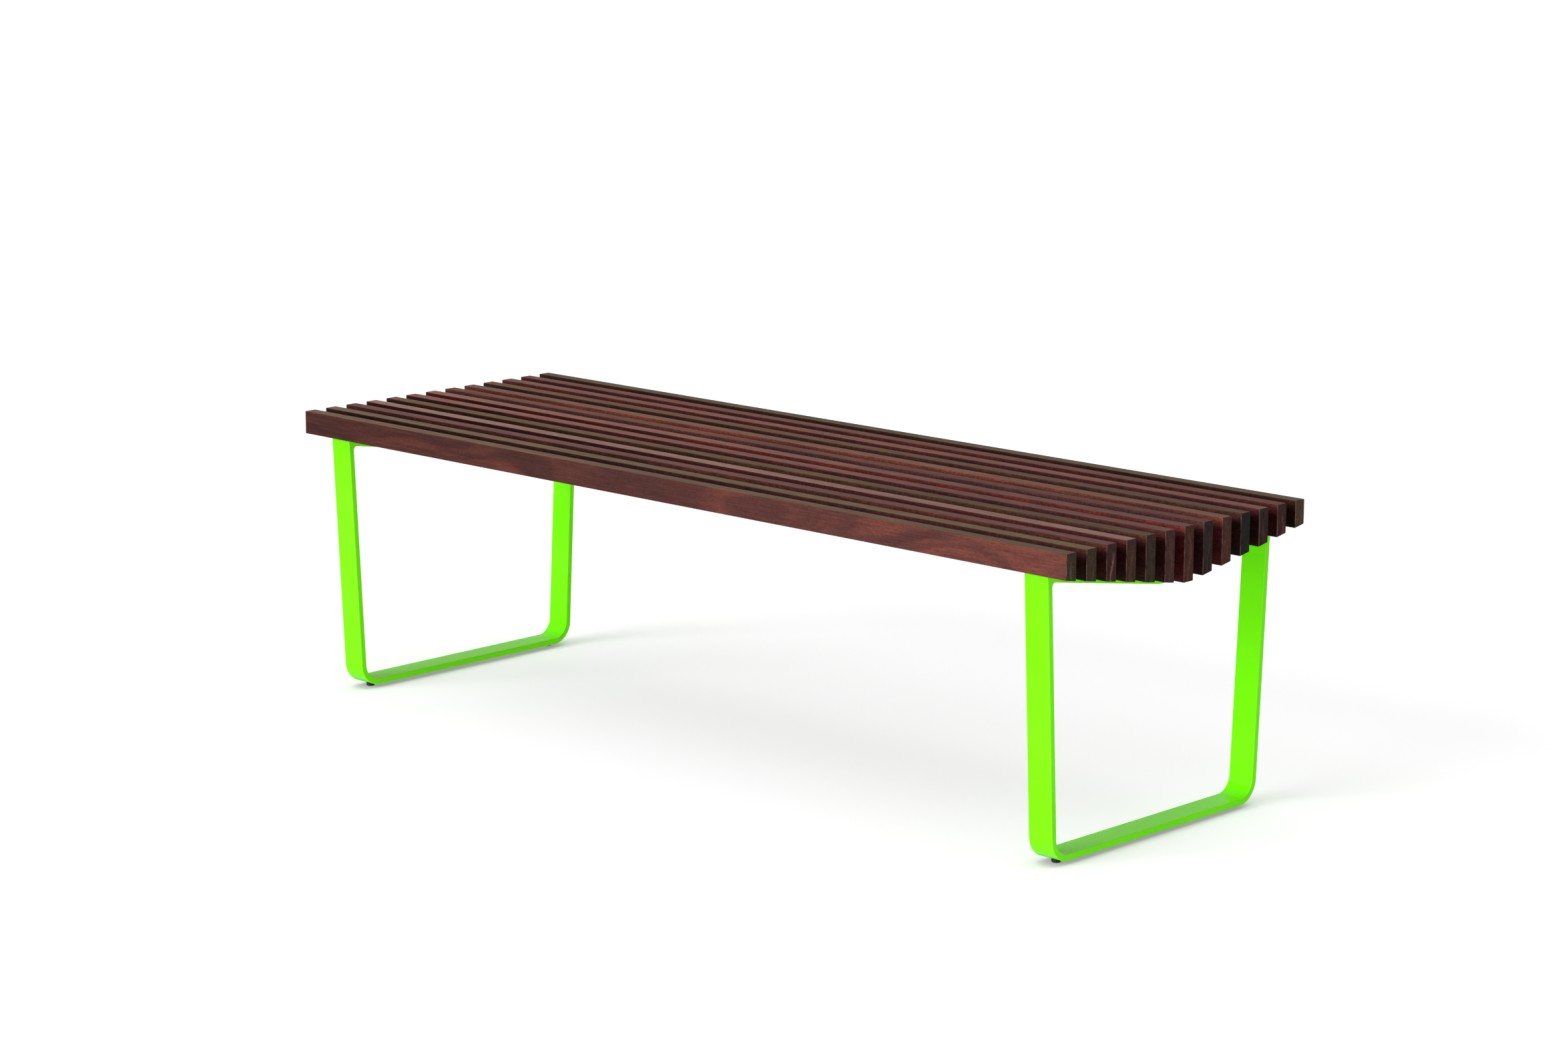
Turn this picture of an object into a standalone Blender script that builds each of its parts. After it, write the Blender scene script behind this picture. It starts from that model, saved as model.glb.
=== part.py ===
"""Backless bench: thirteen hardwood slats on edge, carried by two flat-bar frames.

Units are metres and +Z is up. The origin is on the ground under the middle of the seat, the
slats run along X, and -Y is the front. Each frame is a U-shaped leg loop closed by a V-bent
rail, which follows the seat's shallow V underside.
"""

import math

import bmesh
import bpy
from mathutils import Matrix, Vector

# Seat
SEAT_HEIGHT = 0.431
SLAT_LENGTH = 1.500
SLAT_COUNT = 13
SLAT_THICKNESS = 0.020
SLAT_GAP = 0.0205
SLAT_ROUNDING = 0.0015
EDGE_DEPTH = 0.0345  # depth of the seat at its long outer edges
RIDGE_DEPTH = 0.0770  # depth at which the two sloping undersides would meet

# Frames
FRAME_X = 0.687  # middle of each frame from the middle of the seat
BAR_WIDTH = 0.040
LOOP_THICKNESS = 0.009
RAIL_THICKNESS = 0.008
BAR_ROUNDING = 0.0012
LEG_REACH_TOP = 0.2370  # outer face of a leg from the middle of the seat, under the slats
LEG_REACH_FOOT = 0.2180  # the same, where the leg's outer face would meet the run's underside
LEG_BEND_RADIUS = 0.034  # outside of the bend
RAIL_BEND_RADIUS = 0.060  # upper face of the rail, at its middle

# Glides under the runs
GLIDE_RADIUS = 0.0065
GLIDE_HEIGHT = 0.0055
GLIDE_ROUNDING = 0.002
GLIDE_STEM_RADIUS = 0.003
GLIDE_STEM_LENGTH = 0.005
GLIDE_Y = 0.1865

# Tie rods through the slats, with a spacer in each gap
ROD_RADIUS = 0.004
ROD_DROP = 0.0185  # depth of the rod's axis under the seat's top
ROD_SET_IN = 0.035  # distance from the frame's middle towards the middle of the seat
ROD_INTO_OUTER_SLAT = 0.012
ROD_CHAMFER = 0.001
SPACER_RADIUS = 0.008

# Countersunk wood screws, up through the rail into every second slat
SCREW_LENGTH = 0.030
SCREW_RADIUS = 0.0025
SCREW_HEAD_RADIUS = 0.005
SCREW_HEAD_EDGE = 0.0005  # height of the head's straight rim
SCREW_TIP = 0.004
SOCKET_RADIUS = 0.0022  # across the corners of the hexagon
SOCKET_DEPTH = 0.0018

FIT_GAP = 0.0003  # clearance left between neighbouring pieces

# Mesh detail
BEND_STEPS = 8
ROUND_STEPS = 12
BEVEL_STEPS = 2
BEVEL_ANGLE = math.radians(40)
RIM_STEPS = 3
SMOOTH_ANGLE = math.radians(35)
WELD_DISTANCE = 1e-6
AXIS_MERGE_DISTANCE = 1e-5

PITCH = SLAT_THICKNESS + SLAT_GAP
HALF_WIDTH = ((SLAT_COUNT - 1) * PITCH + SLAT_THICKNESS) / 2
BELLY_SLOPE = (RIDGE_DEPTH - EDGE_DEPTH) / HALF_WIDTH
BELLY_ANGLE = math.atan(BELLY_SLOPE)
RUN_UNDERSIDE = GLIDE_HEIGHT
ROD_Z = SEAT_HEIGHT - ROD_DROP
SIDES = {"left": -1, "right": 1}
ENDS = {"front": -1, "back": 1}

# Wood tones of the slats, from the front one to the back one
SLAT_TONES = (
    "russet", "olive", "mauve", "russet", "olive", "plum", "red",
    "plum", "mauve", "olive", "red", "mauve", "olive",
)
WOOD_COLOURS = {
    "russet": (0.080, 0.030, 0.022, 1.0),
    "olive": (0.060, 0.042, 0.026, 1.0),
    "mauve": (0.085, 0.035, 0.032, 1.0),
    "plum": (0.050, 0.022, 0.022, 1.0),
    "red": (0.110, 0.028, 0.022, 1.0),
}


def clear_scene():
    for obj in list(bpy.data.objects):
        bpy.data.objects.remove(obj, do_unlink=True)


def make_collection(name):
    collection = bpy.data.collections.new(name)
    bpy.context.scene.collection.children.link(collection)
    return collection


# Materials


def make_material(name, colour, roughness, metallic=0.0):
    material = bpy.data.materials.new(name)
    material.use_nodes = True
    shader = material.node_tree.nodes["Principled BSDF"]
    shader.inputs["Base Color"].default_value = colour
    shader.inputs["Roughness"].default_value = roughness
    shader.inputs["Metallic"].default_value = metallic
    material.diffuse_color = colour
    return material


def wood_material(tone):
    return make_material(f"hardwood_{tone}", WOOD_COLOURS[tone], roughness=0.45)


def powder_coat_material():
    return make_material("green_powder_coat", (0.18, 0.90, 0.0, 1.0), roughness=0.25)


def steel_material():
    colour = (0.55, 0.55, 0.54, 1.0)
    return make_material("stainless_steel", colour, roughness=0.30, metallic=1.0)


def nylon_material():
    return make_material("black_nylon", (0.012, 0.012, 0.013, 1.0), roughness=0.50)


# Mesh helpers


def add_object(name, mesh, collection, material=None):
    obj = bpy.data.objects.new(name, mesh)
    collection.objects.link(obj)
    if material is not None and not mesh.materials:
        mesh.materials.append(material)
    return obj


def add_bevel(obj, width):
    bevel = obj.modifiers.new("rounded_edges", "BEVEL")
    bevel.width = width
    bevel.segments = BEVEL_STEPS
    bevel.limit_method = "ANGLE"
    bevel.angle_limit = BEVEL_ANGLE


def add_cut(obj, cutter):
    cut = obj.modifiers.new(cutter.name, "BOOLEAN")
    cut.operation = "DIFFERENCE"
    cut.solver = "EXACT"
    cut.object = cutter


def hide_as_cutter(obj):
    obj.hide_render = True
    obj.display_type = "WIRE"


def evaluated_copy(obj, name):
    """The mesh that the object's modifiers and curve settings make, with its caps welded on."""
    graph = bpy.context.evaluated_depsgraph_get()
    mesh = bpy.data.meshes.new_from_object(obj.evaluated_get(graph))
    mesh.name = name
    work = bmesh.new()
    work.from_mesh(mesh)
    bmesh.ops.remove_doubles(work, verts=work.verts, dist=WELD_DISTANCE)
    work.to_mesh(mesh)
    work.free()
    return mesh


def turned_mesh(name, profile):
    """A solid of revolution about Z. The profile's (radius, height) points run from top to bottom."""
    guide_mesh = bpy.data.meshes.new(name + "_profile")
    edges = [(i, i + 1) for i in range(len(profile) - 1)]
    if profile[0][0] > 0:
        edges.append((len(profile) - 1, 0))
    guide_mesh.from_pydata([(r, 0.0, z) for r, z in profile], edges, [])
    guide = add_object(name + "_guide", guide_mesh, bpy.context.scene.collection)
    screw = guide.modifiers.new("turn", "SCREW")
    screw.axis = "Z"
    screw.steps = ROUND_STEPS
    screw.render_steps = ROUND_STEPS
    screw.use_merge_vertices = True
    screw.merge_threshold = AXIS_MERGE_DISTANCE
    screw.use_smooth_shade = False
    bpy.context.view_layer.update()
    mesh = evaluated_copy(guide, name)
    bpy.data.objects.remove(guide, do_unlink=True)
    smooth_round_faces(mesh)
    return mesh


def smooth_round_faces(mesh):
    mesh.shade_smooth()
    mesh.set_sharp_from_angle(angle=SMOOTH_ANGLE)


def extruded_bar(name, outline, centre_x):
    """A bar of the closed (y, z) outline, BAR_WIDTH wide along X and centred on centre_x."""
    curve = bpy.data.curves.new(name + "_outline", "CURVE")
    curve.dimensions = "2D"
    curve.fill_mode = "BOTH"
    curve.extrude = BAR_WIDTH / 2
    spline = curve.splines.new("POLY")
    spline.points.add(len(outline) - 1)
    for point, (y, z) in zip(spline.points, outline):
        point.co = (y, z, 0.0, 1.0)
    spline.use_cyclic_u = True
    guide = bpy.data.objects.new(name + "_guide", curve)
    bpy.context.scene.collection.objects.link(guide)
    # The curve's own X, Y and Z become the bench's Y, Z and X.
    guide.matrix_world = Matrix(((0, 0, 1, centre_x), (1, 0, 0, 0), (0, 1, 0, 0), (0, 0, 0, 1)))
    bpy.context.view_layer.update()
    mesh = evaluated_copy(guide, name)
    placed = guide.matrix_world.copy()
    bpy.data.objects.remove(guide, do_unlink=True)
    return mesh, placed


# Outlines in the Y-Z plane


def belly_z(y):
    """Height of the seat's underside at this distance from the middle, along the plain V."""
    return SEAT_HEIGHT - EDGE_DEPTH - BELLY_SLOPE * (HALF_WIDTH - abs(y))


def arc_between(before, corner, after, radius):
    """Points of the arc of this radius that rounds the corner."""
    to_before = (before - corner).normalized()
    to_after = (after - corner).normalized()
    half_angle = to_before.angle(to_after) / 2
    middle = corner + (to_before + to_after).normalized() * radius / math.sin(half_angle)
    start = corner + to_before * radius / math.tan(half_angle) - middle
    sweep = math.pi - 2 * half_angle
    turn = math.copysign(sweep, start.cross(corner - middle))
    return [
        middle + Matrix.Rotation(turn * step / BEND_STEPS, 2) @ start
        for step in range(BEND_STEPS + 1)
    ]


def bent_line(corners, radius):
    """The open line through these corners, with each inner corner rounded."""
    points = [corners[0]]
    for before, corner, after in zip(corners, corners[1:], corners[2:]):
        points += arc_between(before, corner, after, radius)
    return points + [corners[-1]]


def leg_line(set_in):
    """Foot and direction (upwards) of the +Y leg's outer face, moved in by set_in."""
    foot = Vector((LEG_REACH_FOOT, RUN_UNDERSIDE))
    top = Vector((LEG_REACH_TOP, belly_z(LEG_REACH_TOP)))
    upwards = (top - foot).normalized()
    inwards = Vector((-upwards.y, upwards.x))
    return foot + inwards * set_in, upwards


def leg_at_height(set_in, z):
    foot, upwards = leg_line(set_in)
    return foot + upwards * (z - foot.y) / upwards.y


def leg_at_belly(set_in, drop):
    """Where the leg's face, moved in by set_in, meets the belly's line lowered by drop."""
    foot, upwards = leg_line(set_in)
    below = belly_z(foot.x) - drop - foot.y
    return foot + upwards * below / (upwards.y - BELLY_SLOPE * upwards.x)


def mirrored(points):
    return [Vector((-point.x, point.y)) for point in reversed(points)]


def loop_outline():
    """The leg loop: down one leg, along the run and up the other, then back along the inside."""
    lines = []
    for set_in in (0.0, LOOP_THICKNESS):
        half = [
            leg_at_belly(set_in, FIT_GAP),
            leg_at_height(set_in, RUN_UNDERSIDE + set_in),
        ]
        lines.append(bent_line(half + mirrored(half), LEG_BEND_RADIUS - set_in))
    outer, inner = lines
    return outer + inner[::-1]


def rail_outline():
    """The rail: under the slats from one leg's inner face to the other's, V-bent at its middle."""
    end = LOOP_THICKNESS + FIT_GAP
    lines = []
    for depth in (0.0, RAIL_THICKNESS):
        drop = FIT_GAP + depth / math.cos(BELLY_ANGLE)
        half = [leg_at_belly(end, drop)]
        ridge = Vector((0.0, belly_z(0.0) - drop))
        lines.append(bent_line(half + [ridge] + mirrored(half), RAIL_BEND_RADIUS + depth))
    upper, lower = lines
    return upper + lower[::-1]


# Parts


def slat_centre(index):
    return (index - (SLAT_COUNT - 1) / 2) * PITCH


def slat_mesh(name, index):
    """A square-cut slat on edge, from a cube whose bottom is cut to the belly's slope."""
    work = bmesh.new()
    bmesh.ops.create_cube(work, size=1.0)
    for vert in work.verts:
        y = slat_centre(index) + vert.co.y * SLAT_THICKNESS
        z = SEAT_HEIGHT if vert.co.z > 0 else belly_z(y)
        vert.co = Vector((vert.co.x * SLAT_LENGTH, y - slat_centre(index), z - SEAT_HEIGHT))
    mesh = bpy.data.meshes.new(name)
    work.to_mesh(mesh)
    work.free()
    return mesh


def make_slats(collection, bore_cutter, screw_cutter):
    materials = {tone: wood_material(tone) for tone in WOOD_COLOURS}
    for index in range(SLAT_COUNT):
        name = f"slat_{index + 1:02d}"
        slat = add_object(
            name, slat_mesh(name, index), collection, materials[SLAT_TONES[index]]
        )
        slat.location = (0.0, slat_centre(index), SEAT_HEIGHT)
        add_bevel(slat, SLAT_ROUNDING)
        add_cut(slat, bore_cutter)
        if index in screwed_slats():
            add_cut(slat, screw_cutter)


def make_leg_loops(collection, material, stem_cutter):
    for side, sign in SIDES.items():
        mesh, placed = extruded_bar(f"leg_loop_{side}", loop_outline(), sign * FRAME_X)
        loop = add_object(f"leg_loop_{side}", mesh, collection, material)
        loop.matrix_world = placed
        add_bevel(loop, BAR_ROUNDING)
        add_cut(loop, stem_cutter)


def make_rails(collection, material, screw_cutter):
    for side, sign in SIDES.items():
        mesh, placed = extruded_bar(f"rail_{side}", rail_outline(), sign * FRAME_X)
        rail = add_object(f"rail_{side}", mesh, collection, material)
        rail.matrix_world = placed
        add_bevel(rail, BAR_ROUNDING)
        add_cut(rail, screw_cutter)


def glide_profile():
    """From the stem's top down to the foot's rounded rim, with z = 0 on the run's underside."""
    rim = [
        (
            GLIDE_RADIUS - GLIDE_ROUNDING * (1 - math.cos(angle)),
            -GLIDE_HEIGHT + GLIDE_ROUNDING * (1 - math.sin(angle)),
        )
        for angle in (step / RIM_STEPS * math.pi / 2 for step in range(RIM_STEPS + 1))
    ]
    stem = [(0.0, GLIDE_STEM_LENGTH), (GLIDE_STEM_RADIUS, GLIDE_STEM_LENGTH)]
    return stem + [(GLIDE_STEM_RADIUS, -FIT_GAP), (GLIDE_RADIUS, -FIT_GAP)] + rim + [
        (0.0, -GLIDE_HEIGHT)
    ]


def glide_places():
    return {
        f"{side}_{end}": Vector((sx * FRAME_X, sy * GLIDE_Y, RUN_UNDERSIDE))
        for side, sx in SIDES.items()
        for end, sy in ENDS.items()
    }


def make_glides(collection, material):
    mesh = turned_mesh("glide", glide_profile())
    for place, position in glide_places().items():
        glide = add_object(f"glide_{place}", mesh, collection, material)
        glide.location = position


def rod_half_length(extra=0.0):
    return HALF_WIDTH - SLAT_THICKNESS + ROD_INTO_OUTER_SLAT + extra


def rod_x(sign):
    return sign * (FRAME_X - ROD_SET_IN)


def along_y(x, y):
    """Places a piece turned about Z so that its axis lies along Y at the rods' height."""
    return Matrix.Translation((x, y, ROD_Z)) @ Matrix.Rotation(-math.pi / 2, 4, "X")


def make_tie_rods(collection, material):
    half = rod_half_length()
    tip = ROD_RADIUS - ROD_CHAMFER
    profile = [(0.0, half), (tip, half), (ROD_RADIUS, half - ROD_CHAMFER)]
    profile += [(r, -z) for r, z in reversed(profile)]
    mesh = turned_mesh("tie_rod", profile)
    for side, sign in SIDES.items():
        rod = add_object(f"tie_rod_{side}", mesh, collection, material)
        rod.matrix_world = along_y(rod_x(sign), 0.0)


def make_spacers(collection, material):
    half = SLAT_GAP / 2 - FIT_GAP
    bore = ROD_RADIUS + FIT_GAP
    profile = [(bore, half), (SPACER_RADIUS, half), (SPACER_RADIUS, -half), (bore, -half)]
    mesh = turned_mesh("spacer", profile)
    for side, sign in SIDES.items():
        for gap in range(SLAT_COUNT - 1):
            spacer = add_object(f"spacer_{side}_{gap + 1:02d}", mesh, collection, material)
            spacer.matrix_world = along_y(rod_x(sign), slat_centre(gap + 0.5))


def screwed_slats():
    """Every second slat, which leaves out the two outer ones and the middle one."""
    return range(1, SLAT_COUNT - 1, 2)


def screw_profile(gap=0.0, past_head=0.0):
    """A countersunk screw pointing up, z = 0 on its head's face, grown by gap for its hole."""
    head_top = SCREW_HEAD_EDGE + SCREW_HEAD_RADIUS - SCREW_RADIUS
    return [
        (0.0, SCREW_LENGTH + gap),
        (SCREW_RADIUS + gap, SCREW_LENGTH - SCREW_TIP + gap),
        (SCREW_RADIUS + gap, head_top + gap),
        (SCREW_HEAD_RADIUS + gap, SCREW_HEAD_EDGE + gap),
        (SCREW_HEAD_RADIUS + gap, -past_head),
        (0.0, -past_head),
    ]


def screw_placement(sign, index):
    """Square to the rail, its head set just inside the rail's lower face, its end in mid-slat."""
    centre = slat_centre(index)
    lean = math.copysign(BELLY_ANGLE, centre)
    upwards = Vector((0.0, -math.sin(lean), math.cos(lean)))
    in_wood = SCREW_LENGTH - RAIL_THICKNESS
    y = centre - upwards.y * in_wood / 2
    entry = Vector((sign * FRAME_X, y, belly_z(y) - FIT_GAP))
    head = entry - upwards * (RAIL_THICKNESS - FIT_GAP)
    return Matrix.Translation(head) @ Matrix.Rotation(lean, 4, "X")


def socket_cutter(collection):
    work = bmesh.new()
    bmesh.ops.create_cone(
        work, cap_ends=True, segments=6, depth=2 * SOCKET_DEPTH,
        radius1=SOCKET_RADIUS, radius2=SOCKET_RADIUS,
    )
    mesh = bpy.data.meshes.new("socket_cutter")
    work.to_mesh(mesh)
    work.free()
    cutter = add_object("socket_cutter", mesh, collection)
    hide_as_cutter(cutter)
    return cutter


def screw_mesh(cutters):
    """The turned screw with the hexagon socket cut into its head, as one mesh for every copy."""
    guide = add_object("screw_guide", turned_mesh("screw_blank", screw_profile()), cutters)
    add_cut(guide, socket_cutter(cutters))
    bpy.context.view_layer.update()
    mesh = evaluated_copy(guide, "wood_screw")
    bpy.data.objects.remove(guide, do_unlink=True)
    return mesh


def make_screws(collection, cutters, material):
    mesh = screw_mesh(cutters)
    for side, sign in SIDES.items():
        for number, index in enumerate(screwed_slats(), start=1):
            screw = add_object(f"screw_{side}_{number}", mesh, collection, material)
            screw.matrix_world = screw_placement(sign, index)


# Cutters


def joined_cutter(name, mesh, placements, collection):
    """One cutter object that holds a copy of the mesh at each placement."""
    work = bmesh.new()
    for placement in placements:
        copied = mesh.copy()
        copied.transform(placement)
        work.from_mesh(copied)
        bpy.data.meshes.remove(copied)
    joined = bpy.data.meshes.new(name)
    work.to_mesh(joined)
    work.free()
    cutter = add_object(name, joined, collection)
    hide_as_cutter(cutter)
    return cutter


def rod_bore_cutter(collection):
    half = rod_half_length(FIT_GAP)
    radius = ROD_RADIUS + FIT_GAP
    mesh = turned_mesh("rod_bore", [(0.0, half), (radius, half), (radius, -half), (0.0, -half)])
    placements = [along_y(rod_x(sign), 0.0) for sign in SIDES.values()]
    return joined_cutter("rod_bore_cutter", mesh, placements, collection)


def screw_hole_cutter(collection):
    mesh = turned_mesh("screw_hole", screw_profile(FIT_GAP, past_head=RAIL_THICKNESS / 2))
    placements = [
        screw_placement(sign, index) for sign in SIDES.values() for index in screwed_slats()
    ]
    return joined_cutter("screw_hole_cutter", mesh, placements, collection)


def stem_hole_cutter(collection):
    radius = GLIDE_STEM_RADIUS + FIT_GAP
    top, below = GLIDE_STEM_LENGTH + FIT_GAP, -GLIDE_HEIGHT / 2
    mesh = turned_mesh("stem_hole", [(0.0, top), (radius, top), (radius, below), (0.0, below)])
    placements = [Matrix.Translation(position) for position in glide_places().values()]
    return joined_cutter("stem_hole_cutter", mesh, placements, collection)


def main():
    clear_scene()
    parts = make_collection("backless_bench")
    cutters = make_collection("cutters")
    bore_cutter = rod_bore_cutter(cutters)
    screw_cutter = screw_hole_cutter(cutters)
    stem_cutter = stem_hole_cutter(cutters)
    coat, steel, nylon = powder_coat_material(), steel_material(), nylon_material()
    make_slats(parts, bore_cutter, screw_cutter)
    make_leg_loops(parts, coat, stem_cutter)
    make_rails(parts, coat, screw_cutter)
    make_glides(parts, nylon)
    make_tie_rods(parts, steel)
    make_spacers(parts, nylon)
    make_screws(parts, cutters, steel)


main()
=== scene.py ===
import math
from collections import namedtuple

import bmesh
import bpy
from mathutils import Matrix, Vector


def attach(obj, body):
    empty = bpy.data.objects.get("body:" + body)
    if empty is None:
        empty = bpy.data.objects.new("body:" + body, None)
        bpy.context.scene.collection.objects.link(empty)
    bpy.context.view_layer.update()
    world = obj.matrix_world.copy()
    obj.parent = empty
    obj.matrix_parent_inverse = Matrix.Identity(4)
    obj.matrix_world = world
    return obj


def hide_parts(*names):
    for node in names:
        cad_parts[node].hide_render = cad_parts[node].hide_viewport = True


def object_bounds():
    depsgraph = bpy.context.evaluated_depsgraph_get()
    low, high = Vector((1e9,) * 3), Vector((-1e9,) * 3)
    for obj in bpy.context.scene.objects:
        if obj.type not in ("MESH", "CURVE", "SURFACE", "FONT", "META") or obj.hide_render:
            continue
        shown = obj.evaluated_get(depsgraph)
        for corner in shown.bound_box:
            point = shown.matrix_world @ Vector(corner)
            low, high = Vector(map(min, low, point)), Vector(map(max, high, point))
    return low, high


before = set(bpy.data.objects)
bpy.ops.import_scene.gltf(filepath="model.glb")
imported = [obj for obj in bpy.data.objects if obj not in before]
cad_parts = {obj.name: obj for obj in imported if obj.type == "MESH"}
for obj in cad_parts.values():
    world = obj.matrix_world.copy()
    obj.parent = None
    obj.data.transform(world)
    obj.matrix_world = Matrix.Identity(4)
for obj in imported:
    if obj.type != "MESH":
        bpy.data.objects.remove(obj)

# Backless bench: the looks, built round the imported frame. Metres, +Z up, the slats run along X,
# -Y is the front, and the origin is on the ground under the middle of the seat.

CAD_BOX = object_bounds()

# Driving sizes of the solids, which the finer pieces keep to
SEAT_HEIGHT = CAD_BOX[1].z
HALF_LENGTH = CAD_BOX[1].x
HALF_WIDTH = CAD_BOX[1].y
SLAT_COUNT = 13
SLAT_THICKNESS = 0.020
PITCH = (2 * HALF_WIDTH - SLAT_THICKNESS) / (SLAT_COUNT - 1)
SLAT_GAP = PITCH - SLAT_THICKNESS
EDGE_DEPTH = 0.0345
RIDGE_DEPTH = 0.0770
BELLY_SLOPE = (RIDGE_DEPTH - EDGE_DEPTH) / HALF_WIDTH
BELLY_ANGLE = math.atan(BELLY_SLOPE)
SLAT_ROUNDING = 0.0010

FRAME_X = 0.687
BAR_WIDTH = 0.040
LOOP_THICKNESS = 0.009
RAIL_THICKNESS = 0.008
BAR_ROUNDING = 0.0012
RUN_UNDERSIDE = 0.0055
LEG_REACH_TOP = 0.2370
LEG_REACH_FOOT = 0.2180
LEG_BEND_RADIUS = 0.034
RAIL_BEND_RADIUS = 0.060
WELD_RADIUS = 0.0042
WELD_BITE = 0.0012  # how far a weld reaches into the bars that it joins
RAIL_BITE = 0.0022  # how far the rail's ends reach into the legs, so that no seam shows
HAIR = 0.00005  # keeps faces that would share a plane just apart

GLIDE_RADIUS = 0.0065
GLIDE_HEIGHT = 0.0055
GLIDE_ROUNDING = 0.002
GLIDE_STEM_RADIUS = 0.003
GLIDE_STEM_LENGTH = 0.005
STEM_HOLE_START = 0.003  # how far below the bar the cutter for a stem's hole starts
GLIDE_Y = 0.1865

ROD_RADIUS = 0.004
ROD_Z = SEAT_HEIGHT - 0.0185
ROD_X = FRAME_X - 0.035
ROD_HOLD = 0.012  # how far a rod reaches into each outer slat
ROD_HALF_LENGTH = HALF_WIDTH - SLAT_THICKNESS + ROD_HOLD
ROD_CHAMFER = 0.001
SPACER_RADIUS = 0.008
SPACER_CHAMFER = 0.0006

SCREW_LENGTH = 0.030
SCREW_RADIUS = 0.0025
SCREW_HEAD_RADIUS = 0.005
SCREW_HEAD_EDGE = 0.0005
SCREW_TIP = 0.004
SCREW_ROUNDING = 0.0002
SOCKET_RADIUS = 0.0022
SOCKET_DEPTH = 0.0018

FIT_GAP = 0.0003
SIDES = {"left": -1, "right": 1}
ENDS = {"front": -1, "back": 1}

# Mesh detail
BEND_STEPS = 28
ROUND_STEPS = 48
BEVEL_STEPS = 4
RIM_STEPS = 8
BEVEL_ANGLE = math.radians(40)
SMOOTH_ANGLE = math.radians(35)
FLAT_WEIGHT = 90
MERGE_DISTANCE = 1e-6

# Each slat's wood: its colours on top, along the sides and at the ends; the strength of its
# figure, speckle and heart streak, 0 to 1; how much lighter than the middle its top (a painted
# sheen) and its sides are at the left end, and as much darker at the right end; and where in the
# grain it is cut.
# Another program fitted nearly all the colours and fades to tones of the photograph. They are only
# lightly rounded here. The rest was chosen one by one.
Wood = namedtuple(
    "Wood", "top side end figure heart top_fade side_fade cut_at speckle", defaults=[0.35]
)
SLAT_WOOD = (  # front to back
    Wood(top=(0.130, 0.066, 0.034), side=(0.090, 0.027, 0.021), end=(0.044, 0.030, 0.015),
         figure=0.70, heart=0.35, top_fade=0.25, side_fade=-0.30, cut_at=(9.7, 0.022, -0.051),
         speckle=0.10),
    Wood(top=(0.140, 0.074, 0.037), side=(0.037, 0.012, 0.009), end=(0.044, 0.025, 0.014),
         figure=0.50, heart=0.15, top_fade=0.10, side_fade=-0.45, cut_at=(7.7, 0.031, -0.035)),
    Wood(top=(0.120, 0.034, 0.028), side=(0.064, 0.019, 0.013), end=(0.040, 0.015, 0.014),
         figure=0.50, heart=1.00, top_fade=0.10, side_fade=-0.35, cut_at=(12.4, -0.006, -0.030)),
    Wood(top=(0.250, 0.130, 0.100), side=(0.050, 0.010, 0.010), end=(0.050, 0.020, 0.014),
         figure=0.40, heart=0.20, top_fade=0.15, side_fade=-0.55, cut_at=(18.2, 0.018, -0.062)),
    Wood(top=(0.100, 0.044, 0.011), side=(0.054, 0.018, 0.013), end=(0.033, 0.021, 0.013),
         figure=0.50, heart=0.10, top_fade=0.30, side_fade=-0.60, cut_at=(21.9, -0.027, -0.044)),
    Wood(top=(0.170, 0.054, 0.040), side=(0.052, 0.013, 0.013), end=(0.054, 0.021, 0.018),
         figure=0.50, heart=0.20, top_fade=0.35, side_fade=-0.50, cut_at=(27.5, 0.012, 0.020)),
    Wood(top=(0.190, 0.066, 0.049), side=(0.088, 0.016, 0.014), end=(0.058, 0.018, 0.013),
         figure=0.70, heart=0.25, top_fade=0.45, side_fade=-0.60, cut_at=(33.0, -0.017, -0.070)),
    Wood(top=(0.115, 0.022, 0.008), side=(0.072, 0.026, 0.025), end=(0.025, 0.015, 0.013),
         figure=0.50, heart=0.10, top_fade=0.30, side_fade=-0.10, cut_at=(38.6, 0.026, -0.025)),
    Wood(top=(0.165, 0.061, 0.036), side=(0.130, 0.033, 0.026), end=(0.060, 0.023, 0.014),
         figure=0.80, heart=0.10, top_fade=0.05, side_fade=-0.10, cut_at=(42.3, -0.011, -0.058)),
    Wood(top=(0.105, 0.038, 0.013), side=(0.050, 0.018, 0.013), end=(0.014, 0.015, 0.011),
         figure=0.40, heart=0.00, top_fade=0.25, side_fade=-0.35, cut_at=(49.1, 0.020, -0.033)),
    Wood(top=(0.170, 0.054, 0.037), side=(0.065, 0.014, 0.015), end=(0.030, 0.014, 0.012),
         figure=0.60, heart=0.15, top_fade=0.00, side_fade=-0.10, cut_at=(53.8, -0.023, -0.047)),
    Wood(top=(0.125, 0.032, 0.023), side=(0.060, 0.014, 0.013), end=(0.040, 0.014, 0.014),
         figure=0.50, heart=0.30, top_fade=0.15, side_fade=-0.10, cut_at=(58.0, 0.009, -0.041)),
    Wood(top=(0.086, 0.050, 0.028), side=(0.031, 0.009, 0.006), end=(0.065, 0.036, 0.019),
         figure=0.50, heart=0.20, top_fade=0.00, side_fade=0.00, cut_at=(63.6, -0.019, -0.028)),
)
HEART_COLOUR = (0.180, 0.086, 0.062, 1.0)
# Pale wear and a painted highlight on the upright arrises at the slat ends
WORN_HIGHLIGHT_COLOUR = (0.190, 0.125, 0.112, 1.0)
DARK_FLAME = (0.55, 0.66, 0.80, 1.0)
LIGHT_FLAME = (1.45, 1.34, 1.20, 1.0)
GAP_PAINTED_SHADE = (0.32, 0.23, 0.27, 1.0)  # painted shade: what a slat's side keeps of its colour deep in a gap
# Where the painted shade in a gap starts below the seat's top, and where it is full
GAP_LIT_DEPTH = 0.0005
GAP_DARK_DEPTH = 0.0165
WOOD_IOR = 1.20

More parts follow.
